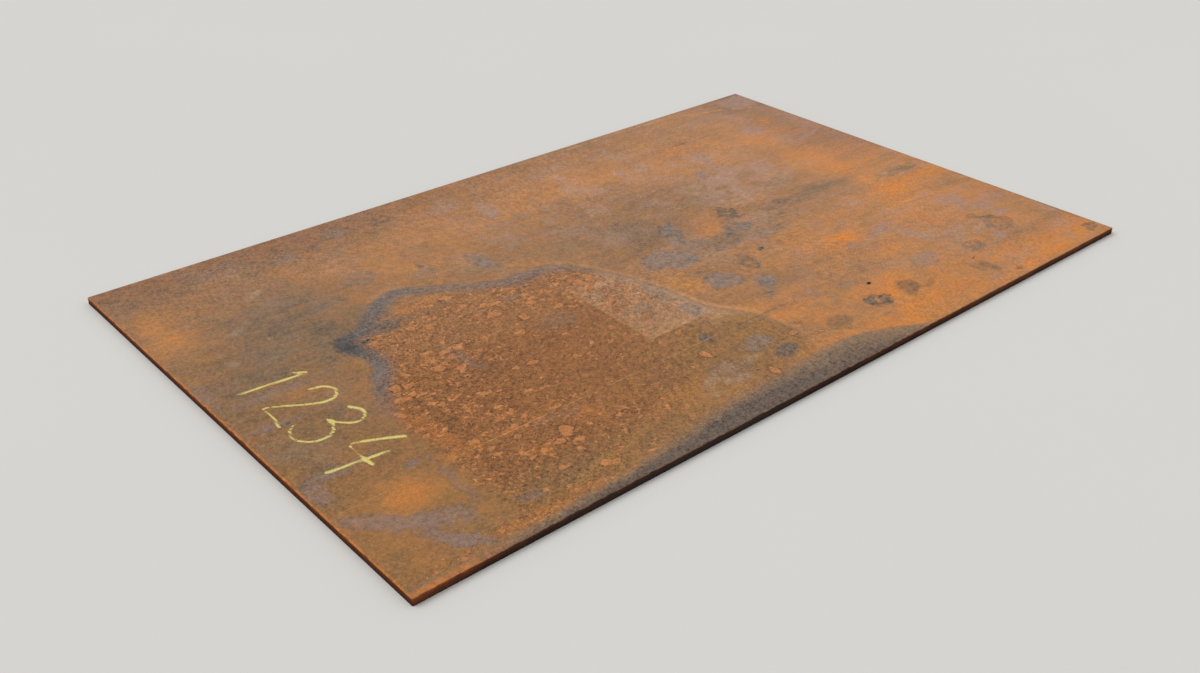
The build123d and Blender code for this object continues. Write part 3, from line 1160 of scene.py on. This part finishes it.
def rolled_face_finish(colours):
    """The upper face: mill scale under patchy rust, the puddle stain, marks and writing."""
    tree = FinishTree(bpy.data.materials.new("rolled_face"))
    place = tree.place()
    x, y, _ = tree.parts(place)
    film = rust_film(tree, place, tree.attribute("rust_zone"), 0.35 + 0.65 * tree.rise(x, -0.9, 0.3))
    colour = film_colour(tree, film, colours)
    colour = lay_blooms(tree, place, x, y, colours, colour)
    colour = lay_bare_streaks(tree, place, x, colour)
    tide = tree.attribute("tide_depth") + tree.swing(place, 60.0, 2.0) * 0.0025
    colour = lay_stain(tree, place, x, y, tide, film, colours, colour)
    colour = lay_sheen_and_corner_tints(tree, place, x, y, colour)
    colour = streaked(tree, colour, place, 0.015 + 0.05 * tree.rise(x, -0.9, 0.3))
    colour = drifting_hue(tree, colour, place)
    colour, flecks = lay_flecks(tree, place, tide, colour)
    colour = lay_front_band(tree, place, x, film, colour)
    colour = lay_tide_mark(tree, place, tide, colour)
    colour = lay_marks(tree, place, x, y, colours, colour)
    colour = lay_scratches(tree, place, colour)
    colour = lay_rim_runs(tree, place, x, y, colour)
    colour = grained(tree, colour, place, grain_amount(tree, place, x, y, tide, colour))
    colour = lay_writing(tree, place, colours, colour)
    roughness = tree.clamped(0.62 + (film - 0.5) * 0.35 + flecks * 0.1)
    height = face_relief(tree, place) + flecks * 0.00055
    return tree.finish(colour, roughness, height, FACE_SPECULAR)


def underside_finish(colours):
    """The face that lies on the ground: blotchy damp rust over mill scale."""
    tree = FinishTree(bpy.data.materials.new("underside"))
    place = tree.place()
    blotches = tree.swing(place, 4.0, 4.0, 0.6) * 0.14
    film = rust_film(tree, place, blotches - 0.10, 1.0)
    colour = film_colour(tree, film, colours)
    damp = tree.patches(0.46, 0.62, place, 3.1, 3.0)
    colour = tree.mixed(colour, DAMP_RUST, damp * 0.5)
    colour = grained(tree, colour, place, 0.12)
    roughness = tree.clamped(0.7 + film * 0.2)
    return tree.finish(colour, roughness, face_relief(tree, place), FACE_SPECULAR)


def mill_edge_finish():
    """A long side: dark square mill edge with rolling lines along it and a worn upper rim with a
    painted highlight. Its darkness is partly painted shade, and it deepens towards the bottom as
    painted shade.
    """
    tree = FinishTree(bpy.data.materials.new("mill_edge"))
    place = tree.place()
    x, _, z = tree.parts(place)
    height = z / plate_thickness
    lines = tree.streaks(place, (6.0, 6.0, 420.0), 3.0, 0.6)
    blotch = tree.swing(place, 16.0, 4.0, 0.6)
    corner = 1 - tree.rise(x, -1.20, -1.00)
    browner = tree.rise(x, -0.2, 0.9) * 0.28 + (1 - tree.rise(x, -1.15, -0.75)) * 0.20 + corner * 0.26
    # Lighter with height: the darker lower part of the side is painted shade
    tone = height * 0.50 + lines * 0.15 + blotch * 0.17 + browner
    colour = tree.ramp(tone, MILL_EDGE_SHADED_STOPS)
    colour = tree.mixed(colour, EDGE_SCALE, tree.bell(x, -0.45, 0.75) * (0.55 + blotch * 0.30))
    # The upper rim is worn scale with a painted highlight along it
    rim_glint = tree.rise(z, plate_thickness - 0.0022, plate_thickness - 0.0006)
    rim_wear_and_glint = rim_glint * tree.patches(0.36, 0.58, place, 38.0, 3.0)
    glint = tree.mixed(EDGE_GLINT, CORNER_GLINT, corner)
    colour = tree.mixed(colour, glint, rim_wear_and_glint * 0.70)
    colour = grained(tree, colour, place, 0.10)
    relief = lines * 0.00010 + face_relief(tree, place)
    return tree.finish(colour, tree.clamped(0.78 + blotch * 0.08), relief, EDGE_SPECULAR)


def flame_cut_finish():
    """An end: drag lines of the cutting flame under brown and orange rust, darker towards the bottom as
    painted shade, with a worn upper rim that has a painted highlight.
    """
    tree = FinishTree(bpy.data.materials.new("flame_cut_end"))
    place = tree.place()
    _, _, z = tree.parts(place)
    height = z / plate_thickness
    lean = tree.stretched(place, (40.0, 620.0, 22.0), (math.radians(7), 0.0, 0.0))
    drag = tree.swing(lean, 1.0)
    wide_drag = tree.streaks(place, (10.0, 150.0, 9.0))
    blotch = tree.swing(place, 14.0, 4.0, 0.6)
    # Lighter with height and in the upper half: the darker lower part of the end is painted shade
    upper = tree.rise(height, 0.45, 0.80)
    tone = 0.12 + height * 0.34 + upper * 0.22 + drag * 0.10 + wide_drag * 0.10 + blotch * 0.13
    colour = tree.ramp(tone, CUT_END_SHADED_STOPS)
    # The upper rim is worn scale with a painted highlight along it
    rim_glint = tree.rise(z, plate_thickness - 0.0024, plate_thickness - 0.0008)
    rim_wear_and_glint = rim_glint * tree.patches(0.32, 0.52, place, 42.0, 3.0)
    colour = tree.mixed(colour, CUT_GLINT, rim_wear_and_glint * 0.8)
    colour = grained(tree, colour, place, 0.10)
    relief = drag * 0.00018 + wide_drag * 0.00020 + face_relief(tree, place)
    return tree.finish(colour, tree.clamped(0.80 + blotch * 0.08), relief, EDGE_SPECULAR)


def all_finishes(colours):
    """The four finishes, in the order of their numbers."""
    faces = [rolled_face_finish(colours), underside_finish(colours)]
    return faces + [mill_edge_finish(), flame_cut_finish()]


# The plate's mesh

# Heights closer than this count as one
HAIR = 1e-6

# Rows of cells between the lips of a flame cut end
HOLLOW_ROWS = 5

# A mesh face belongs to the rolled face or to the underside when its normal is at least this upright,
# and when it lies no further than this from the plate's top or bottom
UPRIGHT = 0.995
RIM_DEPTH = 0.002

# How far down from the top of the plate, and how far in from its outline, handling has bitten
BITE_HEIGHT = 0.0035
BITE_REACH = 0.004

# Depth of the scallops that the cutting flame leaves along the ends
SCALLOP_DEPTH = 0.00035


def is_level(edge):
    """Whether both ends of an edge are at one height."""
    return abs(edge.verts[0].co.z - edge.verts[1].co.z) < HAIR


def rim(mesh, height):
    """The edges of the outline at one height."""
    level = [edge for edge in mesh.edges if is_level(edge)]
    return [edge for edge in level if abs(edge.verts[0].co.z - height) < HAIR]


def round_edges(mesh, edges, radius, segments):
    """Rounds edges by a radius."""
    bmesh.ops.bevel(
        mesh,
        geom=edges,
        offset=radius,
        offset_type="OFFSET",
        segments=segments,
        profile=0.5,
        affect="EDGES",
        material=-1,
    )


def blank(shape):
    """The plate with blunt corners and rounded rims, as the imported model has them."""
    mesh = bmesh.new()
    bmesh.ops.create_cube(mesh, size=1.0)
    bmesh.ops.scale(mesh, vec=(plate_length, plate_width, plate_thickness), verts=mesh.verts)
    bmesh.ops.translate(mesh, vec=(0.0, 0.0, plate_low.z + plate_thickness / 2), verts=mesh.verts)
    round_edges(mesh, [edge for edge in mesh.edges if not is_level(edge)], shape.corner_radius, 4)
    round_edges(mesh, rim(mesh, plate_high.z), shape.top_rounding, 4)
    round_edges(mesh, rim(mesh, plate_low.z), shape.bottom_rounding, 3)
    return mesh


def slice_mesh(mesh, point, direction):
    """Cuts every face that a plane crosses, and keeps both halves."""
    everything = mesh.verts[:] + mesh.edges[:] + mesh.faces[:]
    bmesh.ops.bisect_plane(mesh, geom=everything, dist=HAIR, plane_co=point, plane_no=direction)


def slice_grid(mesh, shape):
    """Slices the plate into cells along, across and up."""
    along = round(plate_length / shape.cell)
    across = round(plate_width / shape.cell)
    for step in range(1, along):
        slice_mesh(mesh, (plate_low.x + plate_length * step / along, 0.0, 0.0), (1.0, 0.0, 0.0))
    for step in range(1, across):
        slice_mesh(mesh, (0.0, plate_low.y + plate_width * step / across, 0.0), (0.0, 1.0, 0.0))
    lowest = plate_low.z + shape.cut_lip
    highest = plate_high.z - shape.cut_lip
    for step in range(HOLLOW_ROWS + 1):
        height = lowest + (highest - lowest) * step / HOLLOW_ROWS
        slice_mesh(mesh, (0.0, 0.0, height), (0.0, 0.0, 1.0))
    mesh.normal_update()


def refine(mesh, shape):
    """Splits the cells of the upper face and of the sides, and those of the ends once more."""
    cuttable = [
        edge for edge in mesh.edges
        if is_level(edge)
        and edge.calc_length() > shape.cell / 2
        and any(face.normal.z > -0.9 for face in edge.link_faces)
    ]
    bmesh.ops.subdivide_edges(mesh, edges=cuttable, cuts=3, use_grid_fill=True)
    nearly_end = end_x - shape.corner_radius
    along_ends = [
        edge for edge in mesh.edges
        if is_level(edge)
        and min(abs(vertex.co.x) for vertex in edge.verts) > nearly_end
        and abs(edge.verts[0].co.y - edge.verts[1].co.y) > shape.cell / 8
    ]
    bmesh.ops.subdivide_edges(mesh, edges=along_ends, cuts=1)
    mesh.normal_update()


def hollow_depth(shape, height):
    """How deep the hollow of a flame cut end is at a height."""
    half_span = plate_thickness / 2 - shape.cut_lip
    radius = (half_span**2 + shape.cut_hollow**2) / (2 * shape.cut_hollow)
    from_middle = height - plate_low.z - plate_thickness / 2
    if abs(from_middle) >= half_span:
        return 0.0
    return shape.cut_hollow - (radius - math.sqrt(radius**2 - from_middle**2))


def noise_at(place, along, across, layer):
    """Smooth noise around 0, of so many lumps a metre along and across. Each layer is its own."""
    return noise.noise(Vector((place.x * along, place.y * across, layer)))


def nick(place, depth):
    """How deep handling has bitten into the rim at a place."""
    dents = max(0.0, noise_at(place, 26, 26, 4.0) - 0.38) * 1.6
    chips = max(0.0, noise_at(place, 90, 90, 9.0) - 0.45) * 0.9
    return depth * min(1.0, dents + chips)


def end_reach(shape, place):
    """How far out a place may lie: less in the hollow and in the scallops of a flame cut end."""
    reach = end_x - hollow_depth(shape, place.z)
    if abs(place.x) > end_x - shape.corner_radius:
        height = (place.z - plate_low.z) / plate_thickness
        spot = Vector((math.copysign(3.0, place.x), place.y * 24 + height * 0.4, height * 0.8))
        reach -= SCALLOP_DEPTH * max(0.0, 0.5 + 0.5 * noise.noise(spot))
    return reach


def rim_bite(shape, place):
    """How deep a place on the upper rim is bitten, and 0 away from the rim."""
    near_top = max(0.0, (place.z - plate_high.z + BITE_HEIGHT) / BITE_HEIGHT)
    to_side = min(end_x - abs(place.x), side_y - abs(place.y))
    return nick(place, shape.nick_depth) * near_top * max(0.0, 1 - to_side / BITE_REACH)


def shape_surface(mesh, shape):
    """Hollows the ends, then gives the faces their waves and the rim its nicks."""
    for vertex in mesh.verts:
        place = vertex.co.copy()
        vertex.co.x = math.copysign(min(abs(place.x), end_reach(shape, place)), place.x)
        bite = rim_bite(shape, place)
        if end_x - abs(place.x) < side_y - abs(place.y):
            vertex.co.x -= math.copysign(bite, place.x)
        else:
            vertex.co.y -= math.copysign(bite, place.y)
        height = (place.z - plate_low.z) / plate_thickness
        wave = 0.5 + 0.5 * noise_at(place, 1.7, 2.6, 0.0)
        lift = 0.5 + 0.5 * noise_at(place, 2.2, 2.2, 7.0)
        vertex.co.z -= shape.wave_depth * wave * height
        vertex.co.z += shape.wave_depth * 0.5 * lift * (1 - height)
        vertex.co.z -= bite * 0.5


def finish_number(face):
    """The number of the finish that a face gets."""
    centre = face.calc_center_median()
    if face.normal.z > UPRIGHT and centre.z > plate_high.z - RIM_DEPTH:
        return ROLLED_FACE
    if face.normal.z < -UPRIGHT and centre.z < plate_low.z + RIM_DEPTH:
        return UNDERSIDE
    to_side, to_end = side_y - abs(centre.y), end_x - abs(centre.x)
    return MILL_EDGE if to_side < to_end else CUT_END


def assign_finishes(mesh):
    """Gives each face its finish, and a sharp edge where a flat face meets a side or an end."""
    for face in mesh.faces:
        face.material_index = finish_number(face)
        face.smooth = True
    for edge in mesh.edges:
        kinds = {face.material_index for face in edge.link_faces}
        edge.smooth = len(kinds) == 1 or kinds == {MILL_EDGE, CUT_END}


def as_object(mesh, name):
    """Turns a finished bmesh into an object in the scene."""
    data = bpy.data.meshes.new(name)
    mesh.to_mesh(data)
    mesh.free()
    made = bpy.data.objects.new(name, data)
    bpy.context.scene.collection.objects.link(made)
    return made


class BuildPlate(bpy.types.Operator):
    """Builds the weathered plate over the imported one."""

    bl_idname = "plate.build_plate"
    bl_label = "Build plate"

    def execute(self, context):
        shape = context.scene.plate_shape
        mesh = blank(shape)
        slice_grid(mesh, shape)
        refine(mesh, shape)
        assign_finishes(mesh)
        shape_surface(mesh, shape)
        made = as_object(mesh, "weathered_plate")
        store_fields(made.data)
        for finish in all_finishes(context.scene.plate_finish):
            made.data.materials.append(finish)
        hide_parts("steel_plate")
        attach(made, "root")
        return {"FINISHED"}


# The studio

# Colour of the light from all round, and how much darker the floor is in its darker patches
SKY_TINT = (1.0, 0.985, 0.965)
FLOOR_DRIFT = 0.988


def make_floor(look):
    """A plain pale floor under the plate."""
    mesh = bmesh.new()
    bmesh.ops.create_grid(mesh, x_segments=1, y_segments=1, size=look.floor_size / 2)
    bmesh.ops.translate(mesh, vec=(0.0, 0.0, plate_low.z), verts=mesh.verts)
    floor = as_object(mesh, "floor")
    tree = FinishTree(bpy.data.materials.new("floor"))
    place = tree.place()
    deeper = tuple(channel * FLOOR_DRIFT for channel in look.floor_colour)
    drift = tree.patches(0.3, 0.7, place, 0.6, 3.0)
    colour = tree.mixed(deeper, look.floor_colour, drift)
    floor.data.materials.append(tree.finish(colour, 0.85, tree.noise(place, 300.0) * 0.00003, 0.05))


def make_world(look):
    """Even light from all round, with the floor's colour behind the plate."""
    world = bpy.data.worlds.new("studio")
    bpy.context.scene.world = world
    tree = FinishTree(world)
    seen = tree.node("ShaderNodeLightPath", None, None, "Is Camera Ray")
    light = tree.node("ShaderNodeBackground", None, {0: full(SKY_TINT), 1: look.sky_strength})
    backdrop = tree.node("ShaderNodeBackground", None, {0: full(look.floor_colour), 1: 1.0})
    surface = tree.node("ShaderNodeMixShader", None, {0: seen, 1: light, 2: backdrop})
    tree.node("ShaderNodeOutputWorld", None, {"Surface": surface})


def make_lamp(look):
    """One soft key lamp, which lights the whole plate alike."""
    data = bpy.data.lights.new("key_lamp", "SUN")
    data.energy = look.lamp_strength
    data.angle = look.lamp_spread
    lamp = bpy.data.objects.new("key_lamp", data)
    lamp.location = Vector(look.lamp_from) * 3
    lamp.rotation_euler = (-Vector(look.lamp_from)).to_track_quat("-Z", "Y").to_euler()
    bpy.context.scene.collection.objects.link(lamp)


def make_camera(look):
    """The camera, at the photograph's viewing angle."""
    data = bpy.data.cameras.new("camera")
    data.lens = look.camera_lens
    data.sensor_width = 36.0
    data.clip_end = 200.0
    camera = bpy.data.objects.new("camera", data)
    sight = Vector(look.camera_target) - Vector(look.camera_place)
    aim = sight.to_track_quat("-Z", "Y").to_matrix().to_4x4()
    roll = Matrix.Rotation(look.camera_roll, 4, "Z")
    camera.matrix_world = Matrix.Translation(look.camera_place) @ aim @ roll
    bpy.context.scene.collection.objects.link(camera)
    bpy.context.scene.camera = camera


class BuildStudio(bpy.types.Operator):
    """Builds the floor, the light and the camera."""

    bl_idname = "plate.build_studio"
    bl_label = "Build studio"

    def execute(self, context):
        look = context.scene.studio_look
        make_floor(look)
        make_world(look)
        make_lamp(look)
        make_camera(look)
        context.scene.view_settings.view_transform = "Standard"
        return {"FINISHED"}


class PlatePanel(bpy.types.Panel):
    """Lists the settings and the steps."""

    bl_idname = "VIEW3D_PT_plate"
    bl_label = "Plate"
    bl_space_type = "VIEW_3D"
    bl_region_type = "UI"
    bl_category = "Plate"

    def draw(self, context):
        scene = context.scene
        for settings in (scene.plate_shape, scene.plate_finish, scene.studio_look):
            box = self.layout.box()
            for name in settings.__annotations__:
                box.prop(settings, name)
        for step in STEPS:
            self.layout.operator(step.bl_idname)


STEPS = (BuildPlate, BuildStudio)
CLASSES = (PlateShape, PlateFinish, StudioLook, *STEPS, PlatePanel)


def register():
    """Registers the classes and hangs their settings on the scene."""
    for each in CLASSES:
        bpy.utils.register_class(each)
    bpy.types.Scene.plate_shape = bpy.props.PointerProperty(type=PlateShape)
    bpy.types.Scene.plate_finish = bpy.props.PointerProperty(type=PlateFinish)
    bpy.types.Scene.studio_look = bpy.props.PointerProperty(type=StudioLook)


def unregister():
    """Takes the settings and the classes away again."""
    del bpy.types.Scene.studio_look
    del bpy.types.Scene.plate_finish
    del bpy.types.Scene.plate_shape
    for each in reversed(CLASSES):
        bpy.utils.unregister_class(each)


def main():
    """Registers the add-on and runs its steps."""
    register()
    bpy.ops.plate.build_plate()
    bpy.ops.plate.build_studio()


if __name__ == "__main__":
    main()
